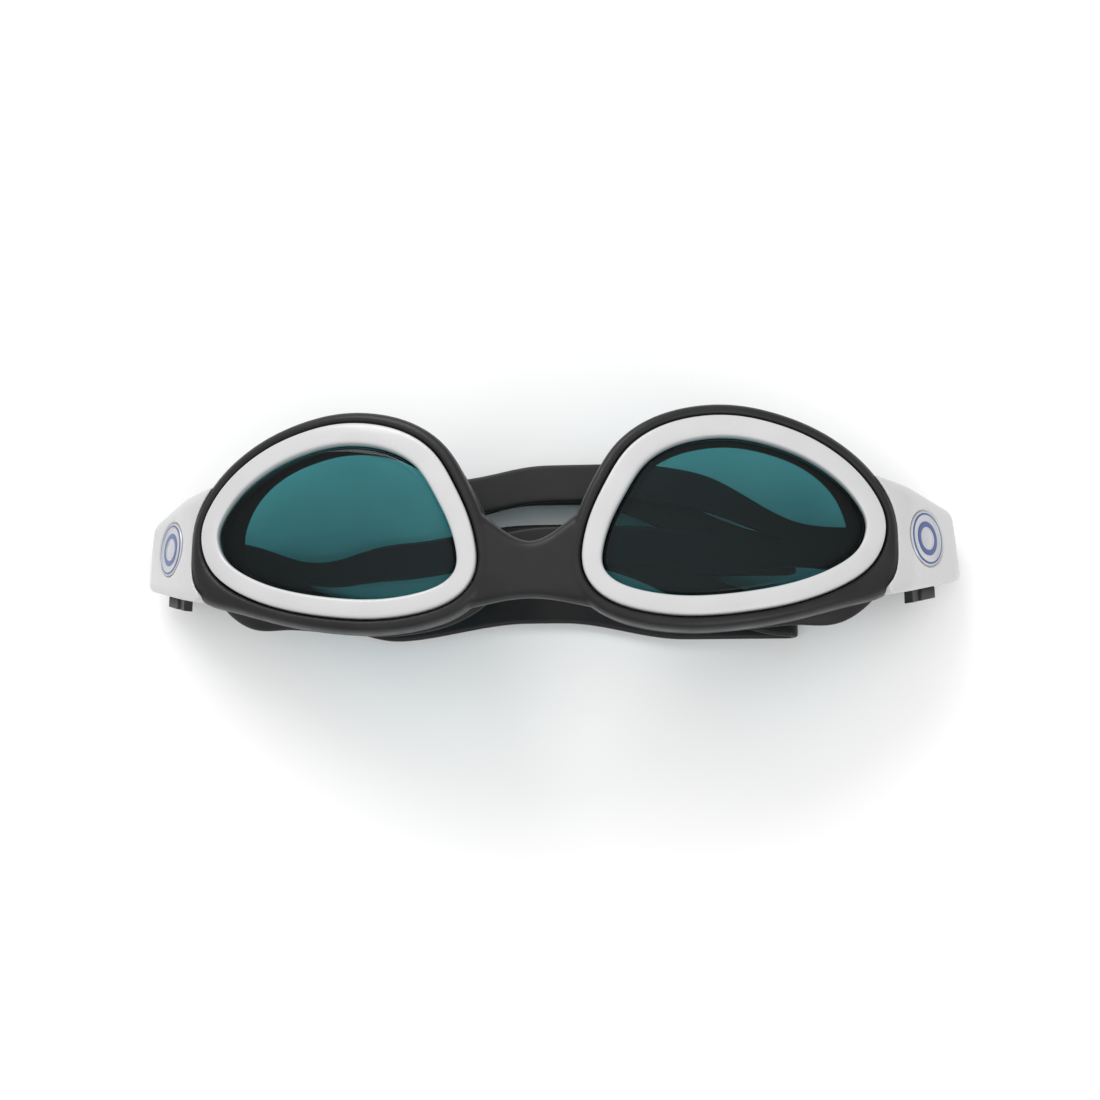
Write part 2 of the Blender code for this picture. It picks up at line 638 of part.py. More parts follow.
def tail_path(side):
    """The strap's middle line in the x-z plane from inside a buckle, round the bar, to just beneath it."""
    stations = [STRAP_START_S]
    for k in range(RIB_COUNT):
        middle = RIB_FIRST_S + RIB_PITCH * k
        stations += [middle + RIB_WIDTH * share for share in (-0.5, -0.25, 0.25, 0.5)]
    points = [arm_xz(s, STRAP_T, side) for s in stations + [BAR_S]]
    bar = arm_xz(BAR_S, BAR_T, side)
    start = math.pi / 2 - ARM_ANGLE
    turn = [start + (-math.pi / 2 - start) * k / 7 for k in range(1, 8)]
    points += [bar + TURN_RADIUS * Vector((side * math.cos(a), math.sin(a))) for a in turn]
    return points


def eased(a, b, count):
    """Points from a to b that leave and arrive level. Neither end is included."""
    return [Vector((a.x + (b.x - a.x) * k / count, a.y + (b.y - a.y) * smooth(k / count)))
            for k in range(1, count)]


def strap_path():
    """The strap's middle line from the left buckle to the right one, in three layers behind the cups."""
    left, right = tail_path(-1), tail_path(1)
    layers = [STRAP_THICKNESS / 2 + 2 * FOLD_RADIUS * k for k in range(3)]
    settle = Vector((-62 * MM, layers[0]))
    fold_1, fold_2 = RIGHT_FOLD_X, LEFT_FOLD_X
    path = left + eased(left[-1], settle, 4)
    path += line(settle, Vector((fold_1, layers[0])), 6 * MM)
    path += arc(Vector((fold_1, layers[0] + FOLD_RADIUS)), FOLD_RADIUS, -math.pi / 2, math.pi / 2)
    path += line(Vector((fold_1, layers[1])), Vector((fold_2, layers[1])), 6 * MM)
    path += arc(Vector((fold_2, layers[1] + FOLD_RADIUS)), FOLD_RADIUS, -math.pi / 2, -math.pi * 1.5)
    lift_off = Vector((66 * MM, layers[2]))
    path += line(Vector((fold_2, layers[2])), lift_off, 6 * MM)
    path += eased(lift_off, right[-1], 4)
    return path + right[::-1]


def travel(reach, legs):
    """A value that moves smoothly from each (distance in millimetres, value) leg to the next."""
    reach /= MM
    for (at_0, value_0), (at_1, value_1) in zip(legs, legs[1:]):
        if reach <= at_1:
            return value_0 + (value_1 - value_0) * smooth((reach - at_0) / (at_1 - at_0))
    return legs[-1][1]


def strap_rows(reach, total):
    """The four edges across the strap (outer, slot, slot, outer) and whether the slot is open here."""
    end = total / MM
    spread = travel(reach, [(0, 0), (36, 0), (62, 1), (end - 62, 1), (end - 38, 0), (end, 0)])
    centre = travel(reach, [(0, STRAP_MIDDLE), (22, STRAP_MIDDLE), (50, LOW_LAYER), (60, LOW_LAYER),
                            (90, ARCH_LAYER), (98, ARCH_LAYER), (124, LOW_LAYER), (150, LOW_LAYER),
                            (196, HIGH_LAYER), (206, HIGH_LAYER), (222, HIGH_LAYER - FOLD_DIP),
                            (242, HIGH_LAYER), (end - 78, HIGH_LAYER), (end - 30, STRAP_MIDDLE),
                            (end, STRAP_MIDDLE)])
    outer = STRAP_WIDTH / 2 + (SPLIT_WIDTH - STRAP_WIDTH) / 2 * spread
    slot = SLOT_WIDTH / 2 * max(spread, 0.12)
    return [centre - outer, centre - slot, centre + slot, centre + outer], spread > 0.12


def on_rib(reach):
    """Whether a distance from the strap's end lies on the top of a rib."""
    for k in range(RIB_COUNT):
        middle = RIB_FIRST_S - STRAP_START_S + RIB_PITCH * k
        if abs(reach - middle) < RIB_WIDTH * 0.3:
            return True
    return False


def make_strap(group):
    """A split head strap: one narrow ribbed tail at each buckle and two bands in between."""
    path = strap_path()
    lengths = [0.0]
    for a, b in zip(path, path[1:]):
        lengths.append(lengths[-1] + (b - a).length)
    bm = bmesh.new()
    rows = []
    for i, p in enumerate(path):
        along = path[min(i + 1, len(path) - 1)] - path[max(i - 1, 0)]
        normal = Vector((-along.y, along.x)).normalized()
        reach, total = lengths[i], lengths[-1]
        ribbed_side = STRAP_THICKNESS / 2 + (RIB_HEIGHT if on_rib(min(reach, total - reach)) else 0)
        ys, is_open = strap_rows(reach, total)
        above, below = p + normal * STRAP_THICKNESS / 2, p - normal * ribbed_side
        rows.append((loop_of(bm, [(above.x, y, above.y) for y in ys]),
                     loop_of(bm, [(below.x, y, below.y) for y in ys]), is_open))
    for (up0, down0, open0), (up1, down1, open1) in zip(rows, rows[1:]):
        slotted = open0 and open1
        for k in (0, 2) if slotted else (0, 1, 2):
            bm.faces.new((up0[k], up0[k + 1], up1[k + 1], up1[k]))
            bm.faces.new((down0[k], down0[k + 1], down1[k + 1], down1[k]))
        for k in (0, 1, 2, 3) if slotted else (0, 3):
            bm.faces.new((up0[k], up1[k], down1[k], down0[k]))
    for (up0, down0, open0), (up1, down1, open1), (up2, down2, open2) in zip(rows, rows[1:], rows[2:]):
        if open1 and open0 != open2:
            bm.faces.new((up1[1], up1[2], down1[2], down1[1]))
    for up, down, _ in (rows[0], rows[-1]):
        for k in range(3):
            bm.faces.new((up[k], up[k + 1], down[k + 1], down[k]))
    solid_from(bm, "strap", BLACK_SILICONE, group)


def main():
    clear_scene()
    group = collection("swim_goggles")
    cutters = collection("cutters", hidden=True)
    frame = make_bridge(group)
    for side, tag in ((-1, "left"), (1, "right")):
        def wall_outline(name, offset, side=side):
            """A tall ring over one eye whose outer wall stands off the rim's edge by an offset."""
            tall = [(-10 * MM, 12 * MM), (offset, 12 * MM), (offset, -26 * MM), (-10 * MM, -26 * MM)]
            return as_cutter(ring(name, tall, side, None, cutters, flared=True))

        make_rim(side, tag, group)
        make_lens(side, tag, group)
        boolean(frame, make_cup(side, tag, cutters), "UNION")
        boolean(frame, tongue_shape(f"tongue_socket_{tag}", side, cutters, GAP), "DIFFERENCE")
        make_seal(side, tag, group)
        shell = make_arm(side, tag, group, cutters, wall_outline)
        make_badge(side, tag, group, cutters, shell)
        make_cover(side, tag, group, cutters, wall_outline)
        bar_shape(f"strap_bar_{tag}", side, DARK_PLASTIC, group, 0.0)
        make_button(side, tag, group, cutters)
        make_pawl(side, tag, group, cutters)
        make_spring(side, tag, group)
    make_strap(group)


main()
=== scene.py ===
"""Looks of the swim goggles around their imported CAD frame.

Lengths are in metres. The goggles lie lenses up: +X to the right-hand lens, +Y to the brow, +Z out of
the lenses. Every paired piece is made for the right-hand side and mirrored.
"""

import math

import bmesh
import bpy
from mathutils import Matrix, Vector


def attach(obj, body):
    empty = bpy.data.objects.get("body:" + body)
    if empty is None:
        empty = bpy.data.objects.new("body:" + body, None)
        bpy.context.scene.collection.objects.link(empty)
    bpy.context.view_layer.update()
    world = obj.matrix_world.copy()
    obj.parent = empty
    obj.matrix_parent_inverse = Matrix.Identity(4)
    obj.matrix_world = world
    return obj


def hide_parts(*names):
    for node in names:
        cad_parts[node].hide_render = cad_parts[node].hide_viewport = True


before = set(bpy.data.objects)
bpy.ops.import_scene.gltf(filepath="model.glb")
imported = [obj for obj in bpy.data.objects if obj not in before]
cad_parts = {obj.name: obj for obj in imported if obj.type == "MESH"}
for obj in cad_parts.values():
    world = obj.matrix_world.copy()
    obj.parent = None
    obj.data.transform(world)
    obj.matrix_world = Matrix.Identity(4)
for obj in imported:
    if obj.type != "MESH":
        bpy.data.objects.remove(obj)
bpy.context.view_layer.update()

MM = 0.001
GAP = 0.3 * MM

# Outer edge of a lens rim, as x and y from the middle of the nose.
RIM_EDGE = [(71.6, -1.2), (69.4, 5.6), (63.4, 12.2), (53.8, 17.4), (41.0, 20.0), (29.0, 18.2),
            (20.2, 13.0), (14.9, 4.6), (11.3, -4.2), (10.7, -13.0), (16.6, -18.9), (30.0, -21.3),
            (46.0, -19.5), (59.0, -15.4), (68.3, -9.2)]
AROUND = 120                        # points round a lens, a multiple of 4
FAIR_ROUNDS = 4

CREST_Z = 41.0 * MM
WRAP_START = 12 * MM
WRAP_SLOPE = 0.063
WRAP_CURVE = 3.65
BROW_CURVE = 2.7
SEAL_DEPTH = 15.5 * MM
SEAL_CURVE = 3.8

CUP_DEPTH = 8.0 * MM
CUP_OUT = 2.8 * MM
# Bumps of extra reach in millimetres, as (position, reach, breadth).
CUP_FLARES = [((71.6, -3), -0.3, 6), ((66.5, -14.5), 1.2, 8), ((69, -9.5), 2.6, 5.5)]
LIP_FLARE = ((62, -16), 2.2, 11)
LIP_TRIM = 1.6 * MM
EYE_CORNER = ((71, -1), 4.0, 14)
BAND_TOP = 1.02                     # the rim's width at the brow and at the cheek, as factors
BAND_FOOT = 0.86

BRIDGE_TOP = -6.2 * MM              # its edges at the middle of the nose
BRIDGE_FOOT = -17.6 * MM
BRIDGE_RISE = 8.0 * MM              # how far the two edges spread towards the cups
BRIDGE_SPREAD = 3.0 * MM
BRIDGE_FRONT = -1.0 * MM
BRIDGE_THICKNESS = 4.8 * MM

ARM_ANGLE = math.radians(53)
ARM_START = Vector((68.5 * MM, 0, CREST_Z - 10.7 * MM))
ARM_ROOF = -0.8 * MM                # t of the hollow's roof
ARM_THICKNESS = 6.3 * MM
ARM_CREASE = (14.5 * MM, 0.45 * MM) # s and t of the crease between its front and rear faces
FRONT_SLOPE = 0.20
FRONT_CURVE = 11.5
ARM_SHOULDER = 0.9 * MM             # how far the outer face drops towards its two edges
REAR_SLOPE = 0.049
TAIL_DROP = 1.0 * MM
ARM_END = 33.0 * MM
ARM_LAP = 0.4                       # how far the frame's soft edge laps over it, in millimetres
# Upper and lower edge as (s, y) pairs in millimetres.
ARM_TOP = [(-6, 11.9), (2, 10.3), (12, 8.6), (22, 6.8), (30, 5.4)]
ARM_FOOT = [(-6, -18.2), (6, -15.6), (16, -13.1), (26, -10.5), (33, -8.6)]

STRAP_WIDTH = 9.4 * MM
STRAP_MIDDLE = -2.0 * MM
STRAP_THICKNESS = 1.6 * MM
STRAP_T = -4.2 * MM
STRAP_START_S = 19.7 * MM           # its end inside the buckle, and the ribs on it
RIB_FIRST_S = 20.4 * MM
RIB_PITCH = 2.2 * MM
RIB_WIDTH = 0.9 * MM
RIB_HEIGHT = 0.5 * MM
RIB_COUNT = 3
SPLIT_WIDTH = 22.2 * MM
SLOT_WIDTH = 5.4 * MM
MIN_SPREAD = 0.1                    # below this share of the split the slot is closed
LOW_LAYER = -9.2 * MM               # y of the strap's middle in its folded layers
ARCH_LAYER = -5.4 * MM
HIGH_LAYER = 6.7 * MM
FOLD_DIP = 3.0 * MM
FOLD_RADIUS = 1.4 * MM
RIGHT_FOLD_X = 52 * MM
LEFT_FOLD_X = -17.5 * MM
BAR_RADIUS = 0.9 * MM
BAR_S = 28.6 * MM
TURN_RADIUS = BAR_RADIUS + GAP + STRAP_THICKNESS / 2
BAR_T = STRAP_T - TURN_RADIUS

BUTTON_S = (17.6 * MM, 26.0 * MM)
BUTTON_T = (-4.4 * MM, -2.0 * MM)
BUTTON_PROUD = 2.6 * MM             # how far the pad stands out below the arm
BUTTON_STEP = (2.9 * MM, 0.45 * MM) # length and depth of the pad's lower step
BUTTON_TIP = (-8.7 * MM, -2.75 * MM) # y and t of the prongs' ends
BUTTON_TRAVEL = 1.6 * MM
RAMP_LENGTH = 2.4 * MM
NOTCH_S = (20.6 * MM, 23.0 * MM)    # the space between the prongs, for the spring
NOTCH_FLOOR = -12.4 * MM
NOTCH_ROOF = -2.5 * MM              # its t, which leaves a thin skin on the outer face

BADGE_S = 19.4 * MM
BADGE_Y = -1.9 * MM
BADGE_RADIUS = 5.8 * MM
BADGE_SEGMENTS = 72

SOFT_VOXEL = 0.34 * MM
ARM_VOXEL = 0.22 * MM


# Curves and surfaces of the goggles

def smooth(t):
    """Eases a share from 0 to 1, and holds it beyond them."""
    t = max(0.0, min(1.0, t))
    return t * t * (3 - 2 * t)


def catmull(p0, p1, p2, p3, t):
    return 0.5 * (2 * p1 + (p2 - p0) * t + (2 * p0 - 5 * p1 + 4 * p2 - p3) * t * t
                  + (3 * p1 - p0 - 3 * p2 + p3) * t ** 3)


def even_loop(points, count, fine=24):
    """Evenly spaced points on the smooth closed curve through the given ones."""
    n = len(points)
    dense = [catmull(points[i - 1], points[i], points[(i + 1) % n], points[(i + 2) % n], k / fine)
             for i in range(n) for k in range(fine)]
    return resampled(dense, count)


def resampled(loop, count):
    """Evenly spaced points on the closed loop."""
    lengths = [0.0]
    for a, b in zip(loop, loop[1:] + loop[:1]):
        lengths.append(lengths[-1] + (b - a).length)
    even, k = [], 0
    for i in range(count):
        at = lengths[-1] * i / count
        while lengths[k + 1] < at:
            k += 1
        share = (at - lengths[k]) / (lengths[k + 1] - lengths[k])
        even.append(loop[k].lerp(loop[(k + 1) % len(loop)], share))
    return even


def faired(loop, rounds):
    """The closed loop with small kinks smoothed out."""
    for _ in range(rounds):
        loop = [(loop[i - 1] + 2 * p + loop[(i + 1) % len(loop)]) / 4 for i, p in enumerate(loop)]
    return loop


def swell(p, place):
    """A soft bump of extra reach round a place given as (position, reach, breadth) in millimetres."""
    at, reach, breadth = place
    return reach * MM * math.exp(-((p - Vector(at) * MM).length / (breadth * MM)) ** 2)


def flare(p, offset):
    """How much further the cup's wall reaches out near the arm, fading towards the rim."""
    return sum(swell(p, place) for place in CUP_FLARES) * min(1.0, offset / CUP_OUT)


def band(p):
    """The rim is wider at the brow than at the cheek."""
    return BAND_FOOT + (BAND_TOP - BAND_FOOT) * smooth((p.y / MM + 18) / 34)


BASE = faired(even_loop([Vector(p) * MM for p in RIM_EDGE], AROUND), FAIR_ROUNDS)
NORMALS = []
for index in range(AROUND):
    tangent = BASE[(index + 1) % AROUND] - BASE[index - 1]
    NORMALS.append(Vector((tangent.y, -tangent.x)).normalized())


def outline(offset, flared=False, banded=False, extra=None):
    """The rim's outer edge moved outwards, or inwards where the offset is negative."""
    moved = []
    for p, normal in zip(BASE, NORMALS):
        reach = offset
        if flared and offset > GAP:
            reach += flare(p, offset)
        if banded and offset < 0:
            reach *= band(p)
        if extra:
            reach += extra(p)
        moved.append(p + normal * reach)
    return moved


def front_z(x, y):
    """The height of the goggles' wrapped front."""
    u = max(0.0, abs(x) - WRAP_START)
    return CREST_Z - WRAP_SLOPE * u - WRAP_CURVE * u * u - BROW_CURVE * y * y


def face_z(x, y):
    """The height of the seals where they meet the face."""
    u = max(0.0, abs(x) - WRAP_START)
    return CREST_Z - SEAL_DEPTH - SEAL_CURVE * u * u - BROW_CURVE * y * y


def piecewise(table, s):
    """The height y at a distance s, read from (s, y) pairs in millimetres."""
    s /= MM
    for (s0, y0), (s1, y1) in zip(table, table[1:]):
        if s <= s1 or (s1, y1) == table[-1]:
            return (y0 + (y1 - y0) * (s - s0) / (s1 - s0)) * MM


def arm_point(s, y, t, side=1):
    """A point of an arm: s runs back along it, y is shared, and t points out of its outer face."""
    x = ARM_START.x + s * math.cos(ARM_ANGLE) + t * math.sin(ARM_ANGLE)
    z = ARM_START.z - s * math.sin(ARM_ANGLE) + t * math.cos(ARM_ANGLE)
    return Vector((side * x, y, z))


# Meshes

def mesh_object(bm, name, materials=(), angle=40):
    """A smooth object with edges sharp beyond the angle in degrees, or none where it is 0."""
    bm.normal_update()
    bmesh.ops.recalc_face_normals(bm, faces=bm.faces)
    mesh = bpy.data.meshes.new(name)
    bm.to_mesh(mesh)
    bm.free()
    mesh.shade_smooth()
    if angle:
        mesh.set_sharp_from_angle(angle=math.radians(angle))
    obj = bpy.data.objects.new(name, mesh)
    bpy.context.scene.collection.objects.link(obj)
    for material in materials:
        mesh.materials.append(material)
    return obj


def loop_of(bm, points):
    return [bm.verts.new(p) for p in points]


def skin(bm, a, b):
    """A strip of quads between two closed loops."""
    n = len(a)
    return [bm.faces.new((a[i], a[(i + 1) % n], b[(i + 1) % n], b[i])) for i in range(n)]


def prism(bm, ends):
    """A closed solid between two like outlines, given as lists of points."""
    loops = [loop_of(bm, points) for points in ends]
    skin(bm, *loops)
    for loop in loops:
        bm.faces.new(loop)


def lofted(bm, rows):
    """A closed solid through many like outlines, given as loops of vertices."""
    for a, b in zip(rows, rows[1:]):
        skin(bm, a, b)
    bm.faces.new(rows[0])
    bm.faces.new(rows[-1])


def subdivided(obj, levels):
    modifier = obj.modifiers.new("fine", "SUBSURF")
    modifier.levels = modifier.render_levels = levels
    return baked(obj)


def baked(obj):
    """The object with its modifiers turned into plain mesh."""
    graph = bpy.context.evaluated_depsgraph_get()
    mesh = bpy.data.meshes.new_from_object(obj.evaluated_get(graph))
    obj.modifiers.clear()
    old, obj.data = obj.data, mesh
    bpy.data.meshes.remove(old)
    mesh.shade_smooth()
    return obj


def rounded(obj, voxel, rounds):
    """Remeshes a solid finely and softens its edges, as moulding does."""
    remesh = obj.modifiers.new("remesh", "REMESH")
    remesh.mode = "VOXEL"
    remesh.voxel_size = voxel
    soften = obj.modifiers.new("soften", "SMOOTH")
    soften.factor = 0.5
    soften.iterations = rounds
    return baked(obj)


def cut(obj, other, operation="DIFFERENCE"):
    """Adds a boolean with another object, which stays until the modifiers are baked."""
    modifier = obj.modifiers.new(other.name, "BOOLEAN")
    modifier.object = other
    modifier.operation = operation
    modifier.solver = "EXACT"


def discard(*objects):
    for obj in objects:
        mesh = obj.data
        bpy.data.objects.remove(obj)
        bpy.data.meshes.remove(mesh)


def mirrored(obj, name):
    """A copy of a right-hand piece for the left-hand side."""
    mesh = obj.data.copy()
    mesh.transform(Matrix.Diagonal((-1, 1, 1, 1)))
    mesh.flip_normals()
    other = bpy.data.objects.new(name, mesh)
    bpy.context.scene.collection.objects.link(other)
    return other


def ring(name, profile, flared=False, banded=False, materials=()):
    """A ring round the right eye from (offset, rise) pairs in millimetres."""
    bm = bmesh.new()
    loops = []
    for offset, rise in profile:
        points = outline(offset * MM, flared, banded)
        loops.append(loop_of(bm, [(p.x, p.y, front_z(p.x, p.y) + rise * MM) for p in points]))
    for a, b in zip(loops, loops[1:] + loops[:1]):
        skin(bm, a, b)
    return mesh_object(bm, name, materials, 0)


def softened(obj, width, segments):
    """Adds a bevel to the sharp edges."""
    edge = obj.modifiers.new("edges", "BEVEL")
    edge.width = width
    edge.segments = segments
    edge.limit_method = "ANGLE"
    return edge


def block(name, low, high):
    """A box in the arm's own directions s, y and t."""
    bm = bmesh.new()
    bmesh.ops.create_cube(bm, size=1.0)
    for v in bm.verts:
        s, y, t = (a + (b - a) * (k + 0.5) for a, b, k in zip(low, high, v.co))
        v.co = arm_point(s, y, t)
    return mesh_object(bm, name)


# Materials

def connect(tree, source, target):
    tree.links.new(source, target)


def coordinates(tree):
    return tree.nodes.new("ShaderNodeTexCoord").outputs["Object"]


def noise(tree, vector, scale, detail=3.0, roughness=0.5):
    node = tree.nodes.new("ShaderNodeTexNoise")
    node.inputs["Scale"].default_value = scale
    node.inputs["Detail"].default_value = detail
    node.inputs["Roughness"].default_value = roughness
    connect(tree, vector, node.inputs["Vector"])
    return node.outputs["Fac"]


def ranged(tree, value, low, high, out_low, out_high):
    """The value carried over from one range to another."""
    node = tree.nodes.new("ShaderNodeMapRange")
    for key, number in (("From Min", low), ("From Max", high), ("To Min", out_low), ("To Max", out_high)):
        node.inputs[key].default_value = number
    connect(tree, value, node.inputs["Value"])
    return node.outputs["Result"]


def blended(tree, factor, a, b):
    """A colour between two."""
    node = tree.nodes.new("ShaderNodeMix")
    node.data_type = "RGBA"
    node.inputs["A"].default_value = (*a, 1)
    node.inputs["B"].default_value = (*b, 1)
    connect(tree, factor, node.inputs["Factor"])
    return node.outputs["Result"]


def bumped(tree, height, distance, strength, normal=None):
    node = tree.nodes.new("ShaderNodeBump")
    node.inputs["Distance"].default_value = distance
    node.inputs["Strength"].default_value = strength
    connect(tree, height, node.inputs["Height"])
    if normal:
        connect(tree, normal, node.inputs["Normal"])
    return node.outputs["Normal"]


def new_material(name):
    material = bpy.data.materials.new(name)
    material.use_nodes = True
    return material, material.node_tree, material.node_tree.nodes["Principled BSDF"]


def moulded(name, colour, worn, roughness, grain, grain_depth, wave_depth, specular=0.5, coat=0.0,
            metal=0.0):
    """A moulded surface: cloudy colour, uneven gloss, fine grain and a faint long wave in the surface."""
    material, tree, shader = new_material(name)
    where = coordinates(tree)
    cloud = ranged(tree, noise(tree, where, 90, 5), 0.35, 0.7, 0, 1)
    connect(tree, blended(tree, cloud, colour, worn), shader.inputs["Base Color"])
    gloss = ranged(tree, noise(tree, where, 240, 6, 0.6), 0.3, 0.7, *roughness)
    connect(tree, gloss, shader.inputs["Roughness"])
    wave = bumped(tree, noise(tree, where, 120, 2), wave_depth, 0.6)
    fine = bumped(tree, noise(tree, where, grain, 4), grain_depth, 0.7, wave)
    connect(tree, fine, shader.inputs["Normal"])
    shader.inputs["Specular IOR Level"].default_value = specular
    shader.inputs["Coat Weight"].default_value = coat
    shader.inputs["Coat Roughness"].default_value = 0.12
    shader.inputs["Metallic"].default_value = metal
    return material


def tinted_lens(name, tint, smear):
    """Clear tinted plastic: light passes straight through its thin wall, and its faces reflect."""
    material, tree, shader = new_material(name)
    tree.nodes.remove(shader)
    where = coordinates(tree)
    through = tree.nodes.new("ShaderNodeBsdfTransparent")
    cloud = ranged(tree, noise(tree, where, 60, 4), 0.35, 0.7, 0, 1)
    connect(tree, blended(tree, cloud, tint, smear), through.inputs["Color"])
    gloss = tree.nodes.new("ShaderNodeBsdfGlossy")
    haze = ranged(tree, noise(tree, where, 150, 5), 0.35, 0.75, 0.03, 0.1)
    connect(tree, haze, gloss.inputs["Roughness"])
    connect(tree, bumped(tree, noise(tree, where, 60, 2), 0.00002, 0.5), gloss.inputs["Normal"])
    edge = tree.nodes.new("ShaderNodeLayerWeight")
    edge.inputs["Blend"].default_value = 0.5
    power = tree.nodes.new("ShaderNodeMath")
    power.operation = "POWER"
    power.inputs[1].default_value = 4.0
    connect(tree, edge.outputs["Facing"], power.inputs[0])
    mix = tree.nodes.new("ShaderNodeMixShader")
    connect(tree, ranged(tree, power.outputs["Value"], 0, 1, 0.018, 0.7), mix.inputs["Fac"])
    connect(tree, through.outputs["BSDF"], mix.inputs[1])
    connect(tree, gloss.outputs["BSDF"], mix.inputs[2])
    connect(tree, mix.outputs["Shader"], tree.nodes["Material Output"].inputs["Surface"])
    return material


def make_materials():
    """The looks by short name. Colours are the main one and the cloudy one, and depths are in millimetres."""
    moulds = (
        ("rubber", "soft_black_rubber", (0.010, 0.010, 0.011), (0.016, 0.016, 0.017), (0.34, 0.46), 2600,
         0.02, 0.05, 0.28, 0.0, 0.0),
        ("silicone", "black_silicone", (0.008, 0.008, 0.009), (0.014, 0.014, 0.015), (0.34, 0.48), 1800,
         0.02, 0.06, 0.3, 0.0, 0.0),
        ("white", "white_gloss_plastic", (0.56, 0.56, 0.563), (0.53, 0.53, 0.535), (0.2, 0.28), 1500,
         0.006, 0.015, 0.5, 0.2, 0.0),
        ("silver", "badge_silver", (0.52, 0.53, 0.55), (0.47, 0.48, 0.50), (0.28, 0.4), 4000,
         0.01, 0.02, 0.5, 0.3, 0.35),
        ("blue", "badge_blue", (0.012, 0.045, 0.20), (0.016, 0.055, 0.24), (0.25, 0.36), 2500,
         0.01, 0.02, 0.5, 0.4, 0.0),
        ("dark", "dark_plastic", (0.014, 0.014, 0.015), (0.022, 0.022, 0.024), (0.38, 0.5), 3500,
         0.03, 0.04, 0.5, 0.0, 0.0),
        ("steel", "spring_steel", (0.55, 0.56, 0.58), (0.42, 0.43, 0.45), (0.22, 0.36), 5000,
         0.005, 0.01, 0.5, 0.0, 1.0))
    look = {}
    for key, name, colour, worn, roughness, grain, grain_depth, wave_depth, specular, coat, metal in moulds:
        look[key] = moulded(name, colour, worn, roughness, grain, grain_depth * MM, wave_depth * MM, specular,
                            coat, metal)
    look["lens"] = tinted_lens("teal_lens", (0.22, 0.50, 0.52), (0.20, 0.47, 0.495))
    return look


# The eye cups

def make_rims(look):
    """The white rings that hold the lenses, softly rounded on top."""
    profile = [(-0.02, -3.0), (0, -2.6), (0, -0.9), (-0.06, -0.4), (-0.35, -0.1), (-1.0, 0), (-2.4, 0.03),
               (-3.6, -0.02), (-4.2, -0.2), (-4.44, -0.6), (-4.5, -1.3), (-4.5, -2.7), (-4.4, -3.0),
               (-2.2, -3.0)]
    right = subdivided(ring("rim_ring_right", profile, banded=True, materials=[look["white"]]), 2)
    return right, mirrored(right, "rim_ring_left")


def patch(bm, border, height):
    """Fills a loop of 4n vertices with a grid that bends smoothly between its four sides."""
    n = len(border) // 4
    at = [v.co.copy() for v in border]
    grid = {}
    for k in range(n + 1):
        grid[k, 0] = border[k]
        grid[n, k] = border[n + k]
        grid[n - k, n] = border[2 * n + k]
        grid[0, n - k] = border[(3 * n + k) % (4 * n)]
    corner = [at[0], at[n], at[2 * n], at[3 * n]]
    for i in range(1, n):
        for j in range(1, n):
            u, v = i / n, j / n
            sides = ((1 - v) * at[i] + v * at[3 * n - i] + (1 - u) * at[(4 * n - j) % (4 * n)]
                     + u * at[n + j])
            corners = ((1 - u) * (1 - v) * corner[0] + u * (1 - v) * corner[1] + u * v * corner[2]
                       + (1 - u) * v * corner[3])
            p = sides - corners
            grid[i, j] = bm.verts.new((p.x, p.y, height(p.x, p.y)))
    for i in range(n):
        for j in range(n):
            bm.faces.new((grid[i, j], grid[i + 1, j], grid[i + 1, j + 1], grid[i, j + 1]))


def make_lenses(look):
    """A dished lens: a flange under the rim, a short wall and a softly domed window."""
    front_rows = [(-1.3, -3.3), (-4.6, -3.3), (-4.82, -3.1), (-4.82, -2.1), (-4.95, -1.65), (-5.4, -1.42),
                  (-6.2, -1.36)]
    back_rows = [(-1.3, -4.7), (-5.1, -4.7), (-5.6, -4.4), (-6.1, -3.1), (-6.6, -2.8)]
    bm = bmesh.new()
    sides = []
    for rows in (front_rows, back_rows):
        loops = []
        for offset, rise in rows:
            points = outline(offset * MM, banded=True)
            loops.append(loop_of(bm, [(p.x, p.y, front_z(p.x, p.y) + rise * MM) for p in points]))
        for a, b in zip(loops, loops[1:]):
            skin(bm, a, b)
        last_rise = rows[-1][1] * MM
        patch(bm, loops[-1], lambda x, y, rise=last_rise: front_z(x, y) + rise)
        sides.append(loops[0])
    skin(bm, *sides)
    right = mesh_object(bm, "lens_window_right", [look["lens"]], 0)
    right = subdivided(right, 1)
    return right, mirrored(right, "lens_window_left")


def lip_extra(p):
    """How much further the seal's lip turns out at a point of the rim's edge."""
    cheek = smooth((-p.y / MM - 12) / 7) * smooth((62 - p.x / MM) / 10)
    return swell(p, LIP_FLARE) - LIP_TRIM * cheek


